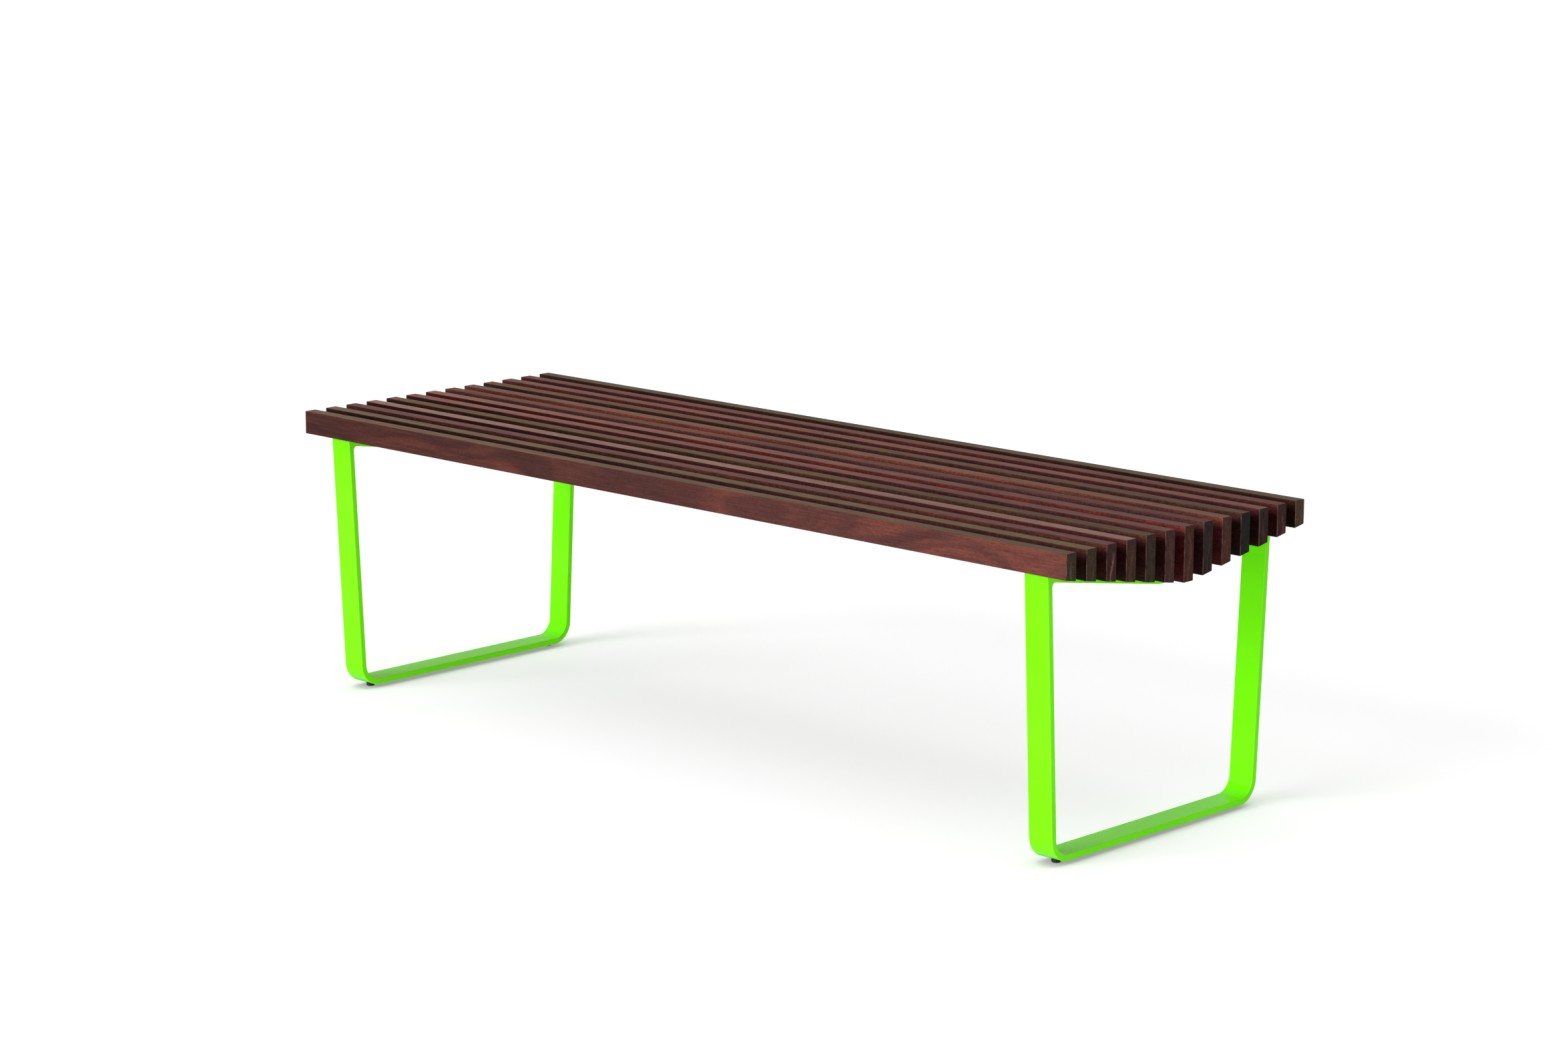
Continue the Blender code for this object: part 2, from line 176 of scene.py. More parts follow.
# The wood's grain. The scales are in waves to the metre along X, Y and Z.
SWERVE_SCALE = (2.3, 7.0, 7.0)
SWERVE = 0.34
BAND_SCALE = (5.0, 24.0, 46.0)
CLOUD_SCALE = (4.0, 24.0, 21.0)
CLOUD_SHARE = 0.8
FLAME_SPAN = (0.62, 1.18)  # the stretch of bands and clouds together that makes a full flame
FIBRE_SCALE = (16.0, 520.0, 520.0)
THREAD_SCALE = (5.0, 260.0, 260.0)
PORE_SCALE = (110.0, 1500.0, 1500.0)
SPECKLE_SCALE = (240.0, 300.0, 330.0)
SWIRL_BEND_SCALE = (1.0, 42.0, 30.0)
SWIRL_BEND = 0.03
SWIRL_LINES = 620.0  # to the metre across the end
SWIRL_LENGTH = 75.0
STREAK_WAVES = 95.0
STREAK_SWING = 0.0028
STREAK_OFFSET = 0.001
STREAK_RAG_SCALE = (1.0, 260.0, 130.0)
STREAK_RAG = 0.005
STREAK_WIDTH = (0.0062, 0.0020)  # how far from its line it is gone, and still full
STREAK_FADE = (0.008, 0.022)  # how far below the seat's top it is still gone, and full
# Patches of pale wear and painted highlight along the slats' upright arrises
WORN_HIGHLIGHT_SCALE = (1.0, 1.0, 70.0)
WORN_HIGHLIGHT_SPAN = (0.30, 0.60)
WORN_HIGHLIGHT_SHARE = 0.65
GRAIN_HEIGHT = 0.00016
GRAIN_STRENGTH = 0.5
PORE_SPAN = (0.60, 0.72)
PIT_SPAN = (0.60, 0.70)
PIT_DEPTH = 0.8  # of the grain's height
# The darkest and lightest that each makes a colour, as a part of that colour
FLAME_ON_TOP = (0.92, 1.08)
THREAD_ON_TOP = (0.80, 1.18)
FIBRE_TONES = (0.80, 1.17)
PORE_TONE = 0.62
SWIRL_TONES = (0.72, 1.34)
END_SPECKLE = (0.80, 1.22)
# How large the normal's part along X or Z is where a face starts to count, and counts in full
END_FACING = (0.55, 0.85)
TOP_FACING = (0.50, 0.80)
UPRIGHT_ARRIS_FACING = (0.20, 0.42)  # the same for its X part times its Y part
OUTER_FACE_BAND = (0.004, 0.002)  # in from the front or back of the seat
WOOD_ROUGHNESS = (0.46, 0.36)
END_ROUGHNESS = 0.14  # added on end grain
# The stretches of a noise's values that are spread over a full change
SOFT = (0.30, 0.70)
CLEAR = (0.32, 0.68)
CRISP = (0.34, 0.66)

GREEN = (0.172, 0.93, 0.0015, 1.0)
GREEN_CLOUD = (0.19, 0.96, 0.005, 1.0)
# Painted highlight along the coat's arrises
GREEN_ARRIS_HIGHLIGHT = (0.30, 1.0, 0.06, 1.0)
GREEN_DUST = (0.10, 0.55, 0.004, 1.0)
GREEN_GLOSS = (0.8, 1.0, 0.15, 1.0)
# Where the painted highlight on the coat's arrises fades in, and how strong it is
ARRIS_HIGHLIGHT_SPAN = (0.08, 0.22)
ARRIS_HIGHLIGHT_SHARE = 0.35
DUST_SCALE = 2200.0
DUST_SPAN = (0.68, 0.76)
DUST_SHARE = 0.12
GLOSS_CLOUD_SCALE = 9.0
PEEL_SCALE = 850.0
PEEL_HEIGHT = 0.00006
COAT_ROUGHNESS = (0.09, 0.15)
COAT_IOR = 1.50

NYLON = (0.012, 0.013, 0.014, 1.0)
NYLON_SCUFF = (0.035, 0.035, 0.036, 1.0)
NYLON_ROUGHNESS = (0.40, 0.58)
SPARK_SCALE = 2600.0
SPARK_HEIGHT = 0.00005
SCUFF_SCALE = (400.0, 400.0, 2500.0)

STEEL = (0.55, 0.55, 0.54, 1.0)
STEEL_STAIN = (0.40, 0.39, 0.37, 1.0)
STEEL_ROUGHNESS = (0.22, 0.40)
STAIN_SCALE = 160.0
MARK_SCALE = (900.0, 900.0, 9000.0)
MARK_HEIGHT = 0.00003

WHITE = (1.0, 1.0, 1.0, 1.0)


# Node trees


class Shader:
    """A material whose node tree is added to one node at a time."""

    def __init__(self, name, viewport_colour):
        self.material = bpy.data.materials.new(name)
        self.material.use_nodes = True
        self.material.diffuse_color = viewport_colour
        self.tree = self.material.node_tree
        self.surface = self.tree.nodes["Principled BSDF"]

    def node(self, kind, inputs=(), **settings):
        made = self.tree.nodes.new(kind)
        for setting, value in settings.items():
            setattr(made, setting, value)
        for socket, value in dict(inputs).items():
            self.put(made.inputs[socket], value)
        return made

    def put(self, socket, value):
        if isinstance(value, bpy.types.NodeSocket):
            self.tree.links.new(value, socket)
        else:
            socket.default_value = value

    def set(self, **inputs):
        for name, value in inputs.items():
            self.put(self.surface.inputs[name.replace("_", " ")], value)

    def place(self, scale=(1.0, 1.0, 1.0), offset=(0.0, 0.0, 0.0)):
        """The point on the piece, in metres from its own origin, moved and then scaled."""
        point = self.node("ShaderNodeTexCoord").outputs["Object"]
        moved = self.node("ShaderNodeVectorMath", {0: point, 1: offset}, operation="ADD")
        return self.times(moved.outputs[0], scale)

    def times(self, vector, scale):
        made = self.node("ShaderNodeVectorMath", {0: vector, 1: scale}, operation="MULTIPLY")
        return made.outputs[0]

    def parts(self, vector):
        split = self.node("ShaderNodeSeparateXYZ", {0: vector})
        return [split.outputs[axis] for axis in "XYZ"]

    def math(self, operation, *values):
        made = self.node("ShaderNodeMath", dict(enumerate(values)), operation=operation)
        return made.outputs[0]

    def noise(self, vector, scale=1.0, detail=2.0, roughness=0.5, distortion=0.0):
        inputs = {
            "Vector": vector, "Scale": scale, "Detail": detail,
            "Roughness": roughness, "Distortion": distortion,
        }
        return self.node("ShaderNodeTexNoise", inputs).outputs["Fac"]

    def ramp(self, value, low, high, to_low=0.0, to_high=1.0):
        """The value's range low to high, spread over to_low to to_high with eased ends."""
        inputs = {
            "Value": value, "From Min": low, "From Max": high,
            "To Min": to_low, "To Max": to_high,
        }
        made = self.node("ShaderNodeMapRange", inputs, interpolation_type="SMOOTHSTEP")
        return made.outputs["Result"]

    def mix(self, share, first, second, blend="MIX"):
        made = self.node("ShaderNodeMix", data_type="RGBA", blend_type=blend)
        for socket, value in zip((0, 6, 7), (share, first, second)):
            self.put(made.inputs[socket], value)
        return made.outputs[2]

    def scaled(self, colour, factor):
        made = self.node("ShaderNodeVectorMath", {0: colour, 3: factor}, operation="SCALE")
        return made.outputs[0]

    def bump(self, height, distance, strength=1.0):
        inputs = {"Height": height, "Distance": distance, "Strength": strength}
        self.set(Normal=self.node("ShaderNodeBump", inputs).outputs[0])

    def clear_from_behind(self):
        """Leaves only the side that the normals point to: the other side is clear."""
        behind = self.node("ShaderNodeNewGeometry").outputs["Backfacing"]
        clear = self.node("ShaderNodeBsdfTransparent").outputs[0]
        made = self.node("ShaderNodeMixShader", {0: behind, 1: self.surface.outputs[0], 2: clear})
        self.put(self.tree.nodes["Material Output"].inputs["Surface"], made.outputs[0])

    def facing(self):
        """How far the surface faces along X and along Y, either way, and how far it faces up."""
        x, y, z = self.parts(self.node("ShaderNodeNewGeometry").outputs["Normal"])
        return self.math("ABSOLUTE", x), self.math("ABSOLUTE", y), z


def rgba(colour, gain=1.0):
    """The colour, made lighter or darker, with the alpha that a colour socket wants."""
    return tuple(part * gain for part in colour) + (1.0,)


# Materials


def wood_flames(shader, offset):
    """Soft bands and clouds that run along the slat and swerve up and down it."""
    x, y, z = shader.parts(shader.place(offset=offset))
    swerve = shader.noise(shader.place(SWERVE_SCALE, offset), detail=1.0)
    height = shader.math("MULTIPLY_ADD", swerve, SWERVE, z)
    bent = shader.node("ShaderNodeCombineXYZ", {0: x, 1: y, 2: height}).outputs[0]
    bands = shader.noise(shader.times(bent, BAND_SCALE), 1.0, 5.0, 0.58, distortion=0.35)
    clouds = shader.noise(shader.times(bent, CLOUD_SCALE), distortion=0.4)
    return shader.ramp(shader.math("MULTIPLY_ADD", clouds, CLOUD_SHARE, bands), *FLAME_SPAN)


def end_swirl(shader, offset):
    """Fine curved lines down the end of a slat."""
    x, y, z = shader.parts(shader.place(offset=offset))
    bend = shader.noise(shader.place(SWIRL_BEND_SCALE, offset))
    across = shader.math("MULTIPLY_ADD", bend, SWIRL_BEND, y)
    bent = shader.node("ShaderNodeCombineXYZ", {0: x, 1: across, 2: z}).outputs[0]
    return shader.noise(shader.times(bent, (1.0, SWIRL_LINES, SWIRL_LENGTH)), 1.0, 4.0, 0.62)


def heart_streak(shader, index, offset):
    """A lighter streak that winds down the end of a slat."""
    _, y, z = shader.parts(shader.place())
    swing = shader.math("SINE", shader.math("MULTIPLY_ADD", z, STREAK_WAVES, offset[0]))
    middle = slat_centre(index) + STREAK_OFFSET
    line = shader.math("MULTIPLY_ADD", swing, STREAK_SWING, middle)
    ragged = shader.noise(shader.place(STREAK_RAG_SCALE, offset))
    apart = shader.math("ABSOLUTE", shader.math("SUBTRACT", y, line))
    apart = shader.math("MULTIPLY_ADD", ragged, STREAK_RAG, apart)
    fade = shader.ramp(z, *(SEAT_HEIGHT - below for below in STREAK_FADE))
    return shader.math("MULTIPLY", shader.ramp(apart, *STREAK_WIDTH), fade)


def left_to_right(shader, x, fade):
    """Lighter by the fade at the left end and darker by it at the right end."""
    return shader.ramp(x, -HALF_LENGTH, HALF_LENGTH, 1.0 + fade, 1.0 - fade)


def wood_material(index):
    """One slat's wood: lengthwise grain on its top and sides, and end grain."""
    wood = SLAT_WOOD[index]
    offset = wood.cut_at
    shader = Shader(f"hardwood_{index + 1:02d}", rgba(wood.side))

    # Grain, from broad flames down to pores
    flame = wood_flames(shader, offset)
    fibre = shader.noise(shader.place(FIBRE_SCALE, offset), 1.0, 4.0, 0.62)
    thread = shader.noise(shader.place(THREAD_SCALE, offset), 1.0, 3.0, 0.55)
    pores = shader.noise(shader.place(PORE_SCALE, offset), detail=1.0)
    speckle = shader.noise(shader.place(SPECKLE_SCALE, offset), roughness=0.6)
    swirl = end_swirl(shader, offset)

    # Which kind of face this is
    along, across, up = shader.facing()
    is_end = shader.ramp(along, *END_FACING)
    is_top = shader.ramp(up, *TOP_FACING)
    both_ways = shader.math("MULTIPLY", along, across)
    upright_arris = shader.ramp(both_ways, *UPRIGHT_ARRIS_FACING)

    # Faces along the slat: red where the flame is light, brown or purple where it's dark. The two
    # outer faces of the seat, which daylight reaches, are alike.
    x, y, z = shader.parts(shader.place())
    outer_band = [HALF_WIDTH - inset for inset in OUTER_FACE_BAND]
    outside = shader.ramp(shader.math("ABSOLUTE", y), *outer_band)
    reach = wood.figure / 2
    share = shader.ramp(flame, 0.0, 1.0, 0.5 - reach, 0.5 + reach)
    sides = shader.mix(outside, rgba(wood.side), rgba(SLAT_WOOD[0].side))
    sides = shader.mix(1.0, sides, shader.mix(share, DARK_FLAME, LIGHT_FLAME), blend="MULTIPLY")
    spots = shader.ramp(speckle, *SOFT, 1.0 - wood.speckle, 1.0 + wood.speckle)
    sides = shader.scaled(sides, spots)
    sides = shader.scaled(sides, left_to_right(shader, x, wood.side_fade))

    # Painted shade: between the slats, the faces darken below their top edges
    lit = shader.ramp(z, SEAT_HEIGHT - GAP_DARK_DEPTH, SEAT_HEIGHT - GAP_LIT_DEPTH)
    gap_shade = shader.mix(shader.math("MAXIMUM", lit, outside), GAP_PAINTED_SHADE, WHITE)
    sides = shader.mix(1.0, sides, gap_shade, blend="MULTIPLY")

    dark_top, light_top = (rgba(wood.top, gain) for gain in THREAD_ON_TOP)
    tops = shader.mix(shader.ramp(thread, *CLEAR), dark_top, light_top)
    tops = shader.scaled(tops, shader.ramp(flame, 0.0, 1.0, *FLAME_ON_TOP))
    # Painted sheen: the tops are lighter at the left end and darker at the right end
    tops = shader.scaled(tops, left_to_right(shader, x, wood.top_fade))
    colour = shader.mix(is_top, sides, tops)
    colour = shader.scaled(colour, shader.ramp(fibre, *CLEAR, *FIBRE_TONES))
    colour = shader.scaled(colour, shader.ramp(pores, *PORE_SPAN, 1.0, PORE_TONE))

    # End grain: dark, with a faint swirl, and a lighter streak near the heart
    dark_end, light_end = (rgba(wood.end, gain) for gain in SWIRL_TONES)
    ends = shader.mix(shader.ramp(swirl, *CRISP), dark_end, light_end)
    streak = shader.math("MULTIPLY", heart_streak(shader, index, offset), wood.heart)
    ends = shader.mix(streak, ends, HEART_COLOUR)
    ends = shader.scaled(ends, shader.ramp(speckle, *SOFT, *END_SPECKLE))
    colour = shader.mix(is_end, colour, ends)

    # The upright arrises at the ends are worn pale here and there, and carry a painted highlight
    patches = shader.noise(shader.place(WORN_HIGHLIGHT_SCALE, offset), detail=3.0)
    worn_highlight = shader.math("MULTIPLY", upright_arris, shader.ramp(patches, *WORN_HIGHLIGHT_SPAN))
    colour = shader.mix(shader.math("MULTIPLY", worn_highlight, WORN_HIGHLIGHT_SHARE), colour, WORN_HIGHLIGHT_COLOUR)

    polish = shader.ramp(fibre, *SOFT, *WOOD_ROUGHNESS)
    roughness = shader.math("MULTIPLY_ADD", is_end, END_ROUGHNESS, polish)
    shader.set(Base_Color=colour, Roughness=roughness, IOR=WOOD_IOR)
    grain = shader.math("MULTIPLY_ADD", shader.ramp(pores, *PIT_SPAN), -PIT_DEPTH, fibre)
    not_end = shader.math("SUBTRACT", 1.0, is_end)
    end_height = shader.math("MULTIPLY", swirl, is_end)
    height = shader.math("MULTIPLY_ADD", grain, not_end, end_height)
    shader.bump(height, GRAIN_HEIGHT, GRAIN_STRENGTH)
    return shader.material


def powder_coat_material():
    """Glossy coat with a fine orange peel and slow changes in gloss, with a painted highlight
    along the arrises.
    """
    shader = Shader("green_powder_coat_finish", GREEN)
    peel = shader.noise(shader.place(), PEEL_SCALE, 2.0, 0.45)
    cloud = shader.noise(shader.place(), GLOSS_CLOUD_SCALE, 3.0, 0.55)
    dust = shader.ramp(shader.noise(shader.place(), DUST_SCALE, 1.0), *DUST_SPAN)
    # Painted highlight where the coat turns round an arris
    along, _, _ = shader.facing()
    slanted = shader.math("MULTIPLY", along, shader.math("SUBTRACT", 1.0, along))
    arris_highlight = shader.ramp(slanted, *ARRIS_HIGHLIGHT_SPAN)
    colour = shader.mix(shader.ramp(cloud, *SOFT), GREEN, GREEN_CLOUD)
    colour = shader.mix(shader.math("MULTIPLY", arris_highlight, ARRIS_HIGHLIGHT_SHARE), colour, GREEN_ARRIS_HIGHLIGHT)
    colour = shader.mix(shader.math("MULTIPLY", dust, DUST_SHARE), colour, GREEN_DUST)
    shader.set(
        Base_Color=colour,
        Roughness=shader.ramp(cloud, *SOFT, *COAT_ROUGHNESS),
        Specular_Tint=GREEN_GLOSS,
        IOR=COAT_IOR,
    )
    shader.bump(peel, PEEL_HEIGHT, strength=0.35)
    return shader.material


def nylon_material():
    """Matt moulded plastic with a fine spark texture and scuffs round it."""
    shader = Shader("black_nylon_finish", NYLON)
    spark = shader.noise(shader.place(), SPARK_SCALE, 2.0, 0.5)
    scuff = shader.noise(shader.place(SCUFF_SCALE), 1.0, 3.0, 0.6)
    colour = shader.mix(shader.ramp(scuff, 0.55, 0.75, 0.0, 0.5), NYLON, NYLON_SCUFF)
    shader.set(Base_Color=colour, Roughness=shader.ramp(spark, *SOFT, *NYLON_ROUGHNESS))
    shader.bump(spark, SPARK_HEIGHT, strength=0.4)
    return shader.material


def steel_material():
    """Plain steel with turning marks round it and faint stains."""
    shader = Shader("stainless_steel_finish", STEEL)
    marks = shader.noise(shader.place(MARK_SCALE), 1.0, 2.0, 0.6)
    stain = shader.noise(shader.place(), STAIN_SCALE, 3.0, 0.6)
    colour = shader.mix(shader.ramp(stain, 0.4, 0.7, 0.0, 0.6), STEEL, STEEL_STAIN)
    roughness = shader.ramp(marks, *SOFT, *STEEL_ROUGHNESS)
    shader.set(Base_Color=colour, Metallic=1.0, Roughness=roughness)
    shader.bump(marks, MARK_HEIGHT, strength=0.4)
    return shader.material


# Mesh helpers


def new_object(name, mesh):
    obj = bpy.data.objects.new(name, mesh)
    bpy.context.scene.collection.objects.link(obj)
    return obj


def mesh_from(work, name):
    bmesh.ops.recalc_face_normals(work, faces=work.faces)
    mesh = bpy.data.meshes.new(name)
    work.to_mesh(mesh)
    work.free()
    return mesh


def prism(name, outline, low_x, high_x):
    """A solid between two planes square to X, of the closed (y, z) outline."""
    work = bmesh.new()
    face = work.faces.new([work.verts.new((low_x, y, z)) for y, z in outline])
    pushed = bmesh.ops.extrude_face_region(work, geom=[face])["geom"]
    moved = [item for item in pushed if isinstance(item, bmesh.types.BMVert)]
    bmesh.ops.translate(work, verts=moved, vec=(high_x - low_x, 0.0, 0.0))
    return mesh_from(work, name)


def turned(name, profile):
    """A solid of revolution about Z. Its (radius, height) profile runs from top to bottom.

    A profile that starts away from the axis is closed, and makes a ring.
    """
    closed = profile[0][0] > 0
    edges = [(i, i + 1) for i in range(len(profile) - 1)]
    if closed:
        edges.append((len(profile) - 1, 0))
    guide_mesh = bpy.data.meshes.new(name + "_profile")
    guide_mesh.from_pydata([(r, 0.0, z) for r, z in profile], edges, [])
    guide = new_object(name + "_guide", guide_mesh)
    screw = guide.modifiers.new("turn", "SCREW")
    screw.steps = screw.render_steps = ROUND_STEPS
    screw.use_merge_vertices = True
    screw.merge_threshold = 10 * MERGE_DISTANCE
    return taken_mesh(guide, name)


def taken_mesh(obj, name):
    """The object's mesh, modifiers applied and doubles merged. The object itself is removed."""
    bpy.context.view_layer.update()
    graph = bpy.context.evaluated_depsgraph_get()
    mesh = bpy.data.meshes.new_from_object(obj.evaluated_get(graph))
    mesh.name = name
    work = bmesh.new()
    work.from_mesh(mesh)
    bmesh.ops.remove_doubles(work, verts=work.verts, dist=MERGE_DISTANCE)
    bmesh.ops.recalc_face_normals(work, faces=work.faces)
    work.to_mesh(mesh)
    work.free()
    bpy.data.objects.remove(obj, do_unlink=True)
    return mesh


def bevelled(name, mesh, width, cutters=()):
    """The mesh with rounded edges, and then cut by the cutters."""
    guide = new_object(name + "_guide", mesh)
    bevel = guide.modifiers.new("rounded_edges", "BEVEL")
    bevel.width = width
    bevel.segments = BEVEL_STEPS
    bevel.limit_method = "ANGLE"
    bevel.angle_limit = BEVEL_ANGLE
    for cutter in cutters:
        cut = guide.modifiers.new(cutter.name, "BOOLEAN")
        cut.operation = "DIFFERENCE"
        cut.solver = "EXACT"
        cut.object = cutter
    return taken_mesh(guide, name)


def add_piece(name, mesh, material, slot_name, *nodes, place=None):
    """A finished piece, which stands for the solids of these nodes, if any are named.

    Its flat faces stay flat beside its round edges.
    """
    if not mesh.materials:
        mesh.materials.append(material)
        mesh.shade_smooth()
        mesh.set_sharp_from_angle(angle=SMOOTH_ANGLE)
    piece = new_object(name, mesh)
    if place is not None:
        piece.matrix_world = place
    weighted = piece.modifiers.new("flat_faces", "WEIGHTED_NORMAL")
    weighted.keep_sharp = True
    weighted.weight = FLAT_WEIGHT
    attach(piece, "root")
    if nodes:
        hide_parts(*nodes)
    return piece


def joined_cutter(name, mesh, placements):
    """One object of copies of the mesh, to cut holes with."""
    work = bmesh.new()
    for placement in placements:
        copied = mesh.copy()
        copied.transform(placement)
        work.from_mesh(copied)
        bpy.data.meshes.remove(copied)
    return new_object(name, mesh_from(work, name))


# Outlines in the Y-Z plane


def belly_z(y):
    """Height of the seat's underside at this distance from the middle."""
    return SEAT_HEIGHT - EDGE_DEPTH - BELLY_SLOPE * (HALF_WIDTH - abs(y))


def arc_between(before, corner, after, radius):
    """The arc that rounds this corner, from the line before it to the line after it."""
    to_before = (before - corner).normalized()
    to_after = (after - corner).normalized()
    half_angle = to_before.angle(to_after) / 2
    middle = corner + (to_before + to_after).normalized() * radius / math.sin(half_angle)
    start = corner + to_before * radius / math.tan(half_angle) - middle
    turn = math.copysign(math.pi - 2 * half_angle, start.cross(corner - middle))
    return [
        middle + Matrix.Rotation(turn * step / BEND_STEPS, 2) @ start
        for step in range(BEND_STEPS + 1)
    ]


def bent_line(corners, radius):
    """The line through these corners, with every corner but the first and last rounded."""
    points = [corners[0]]
    for before, corner, after in zip(corners, corners[1:], corners[2:]):
        points += arc_between(before, corner, after, radius)
    return points + [corners[-1]]


def leg_line(set_in):
    """Foot and upward direction of the +Y leg's outer face, moved in by set_in."""
    foot = Vector((LEG_REACH_FOOT, RUN_UNDERSIDE))
    top = Vector((LEG_REACH_TOP, belly_z(LEG_REACH_TOP)))
    upwards = (top - foot).normalized()
    return foot + Vector((-upwards.y, upwards.x)) * set_in, upwards


def leg_at_height(set_in, z):
    """The point of the leg's face, moved in by set_in, at this height."""
    foot, upwards = leg_line(set_in)
    return foot + upwards * (z - foot.y) / upwards.y


def leg_at_belly(set_in, drop):
    """Where the leg's face, moved in by set_in, meets the belly's line lowered by drop."""
    foot, upwards = leg_line(set_in)
    below = belly_z(foot.x) - drop - foot.y
    return foot + upwards * below / (upwards.y - BELLY_SLOPE * upwards.x)


def mirrored(points):
    return [Vector((-point.x, point.y)) for point in reversed(points)]


def loop_outline():
    """The two legs and the run between them, from the side: one bar bent twice."""
    lines = []
    for set_in in (0.0, LOOP_THICKNESS):
        half = [leg_at_belly(set_in, FIT_GAP), leg_at_height(set_in, RUN_UNDERSIDE + set_in)]
        lines.append(bent_line(half + mirrored(half), LEG_BEND_RADIUS - set_in))
    outer, inner = lines
    return outer + inner[::-1]


def rail_outline():
    """The flat bar under the slats, from the side: bent once in the middle."""
    lines = []
    for depth in (0.0, RAIL_THICKNESS):
        drop = FIT_GAP + depth / math.cos(BELLY_ANGLE)
        half = [leg_at_belly(LOOP_THICKNESS - RAIL_BITE, drop)]
        ridge = Vector((0.0, belly_z(0.0) - drop))
        lines.append(bent_line(half + [ridge] + mirrored(half), RAIL_BEND_RADIUS + depth))
    upper, lower = lines
    return upper + lower[::-1]


def weld_outline():
    """The fillet in the corner under the rail at the +Y leg's inner face."""
    drop = FIT_GAP + RAIL_THICKNESS / math.cos(BELLY_ANGLE)
    corner = leg_at_belly(LOOP_THICKNESS, drop)
    down = -leg_line(0.0)[1]
    along = Vector((-1.0, -BELLY_SLOPE)).normalized()
    arc = arc_between(corner + down, corner, corner + along, WELD_RADIUS)
    into_rail = arc[-1] + Vector((0.0, WELD_BITE))
    into_both = corner + Vector((WELD_BITE * math.cos(BELLY_ANGLE), WELD_BITE))
    into_leg = arc[0] + Vector((WELD_BITE, 0.0))
    return arc + [into_rail, into_both, into_leg]


# Pieces


def slat_centre(index):
    return (index - (SLAT_COUNT - 1) / 2) * PITCH


def slat_blank(name, index):
    y = slat_centre(index)
    front, back = y - SLAT_THICKNESS / 2, y + SLAT_THICKNESS / 2
    outline = [(front, SEAT_HEIGHT), (back, SEAT_HEIGHT)]
    outline += [(back, belly_z(back)), (front, belly_z(front))]
    return prism(name, outline, -HALF_LENGTH, HALF_LENGTH)


def screwed_slats():
    """Every second slat, leaving out the two outer ones, is screwed to the rails."""
    return range(1, SLAT_COUNT - 1, 2)


def make_slats(bore_cutter, screw_cutter):
    for index in range(SLAT_COUNT):
        node = f"slat_{index + 1:02d}"
        cutters = [bore_cutter] + [screw_cutter] * (index in screwed_slats())
        mesh = bevelled(f"{node}_wood", slat_blank(node, index), SLAT_ROUNDING, cutters)
        add_piece(f"{node}_wood", mesh, wood_material(index), "hardwood", node)


def make_frames(coat, stem_cutter, screw_cutter):
    for side, sign in SIDES.items():
        x = sign * FRAME_X
        loop = prism("loop", loop_outline(), x - BAR_WIDTH / 2, x + BAR_WIDTH / 2)
        loop = bevelled(f"leg_loop_{side}_bar", loop, BAR_ROUNDING, [stem_cutter])
        add_piece(loop.name, loop, coat, "green_powder_coat", f"leg_loop_{side}")
        half = BAR_WIDTH / 2 - HAIR
        rail = prism("rail", rail_outline(), x - half, x + half)
        rail = bevelled(f"rail_{side}_bar", rail, BAR_ROUNDING, [screw_cutter])
        add_piece(rail.name, rail, coat, "green_powder_coat", f"rail_{side}")
        half = BAR_WIDTH / 2 - 2 * HAIR
        for end, turn in ENDS.items():
            outline = [(turn * point.x, point.y) for point in weld_outline()]
            weld = prism(f"weld_{side}_{end}", outline, x - half, x + half)
            add_piece(weld.name, weld, coat, "green_powder_coat")


def glide_profile():
    rim = [
        (
            GLIDE_RADIUS - GLIDE_ROUNDING * (1 - math.cos(angle)),
            -GLIDE_HEIGHT + GLIDE_ROUNDING * (1 - math.sin(angle)),
        )
        for angle in (math.pi / 2 * step / RIM_STEPS for step in range(RIM_STEPS + 1))
    ]
    return [
        (0.0, GLIDE_STEM_LENGTH),
        (GLIDE_STEM_RADIUS, GLIDE_STEM_LENGTH),
        (GLIDE_STEM_RADIUS, -FIT_GAP),
        (GLIDE_RADIUS - FIT_GAP, -FIT_GAP),
        (GLIDE_RADIUS, -2 * FIT_GAP),
    ] + rim + [(0.0, -GLIDE_HEIGHT)]


def glide_places():
    return {
        f"{side}_{end}": Matrix.Translation((sx * FRAME_X, sy * GLIDE_Y, RUN_UNDERSIDE))
        for side, sx in SIDES.items()
        for end, sy in ENDS.items()
    }


def make_glides(nylon):
    mesh = turned("glide", glide_profile())
    for place_name, place in glide_places().items():
        node = f"glide_{place_name}"
        add_piece(f"{node}_foot", mesh, nylon, "black_nylon", node, place=place)


def along_y(x, y):
    """Turns a piece's axis from Z to Y and puts it at the rods' height."""
    return Matrix.Translation((x, y, ROD_Z)) @ Matrix.Rotation(-math.pi / 2, 4, "X")


def make_rods_and_spacers(steel, nylon):
    half, tip = ROD_HALF_LENGTH, ROD_RADIUS - ROD_CHAMFER
    profile = [(0.0, half), (tip, half), (ROD_RADIUS, half - ROD_CHAMFER)]
    rod = turned("tie_rod", profile + [(r, -z) for r, z in reversed(profile)])
    bore, half = ROD_RADIUS + FIT_GAP, SLAT_GAP / 2 - FIT_GAP
    shoulder, face = SPACER_RADIUS - SPACER_CHAMFER, half - SPACER_CHAMFER
    profile = [(bore, half), (shoulder, half), (SPACER_RADIUS, face)]
    spacer = turned("spacer", profile + [(r, -z) for r, z in reversed(profile)])
    for side, sign in SIDES.items():
        node = f"tie_rod_{side}"
        place = along_y(sign * ROD_X, 0.0)
        add_piece(f"{node}_bar", rod, steel, "stainless_steel", node, place=place)
        for gap in range(SLAT_COUNT - 1):
            node = f"spacer_{side}_{gap + 1:02d}"
            place = along_y(sign * ROD_X, slat_centre(gap + 0.5))
            add_piece(f"{node}_tube", spacer, nylon, "black_nylon", node, place=place)


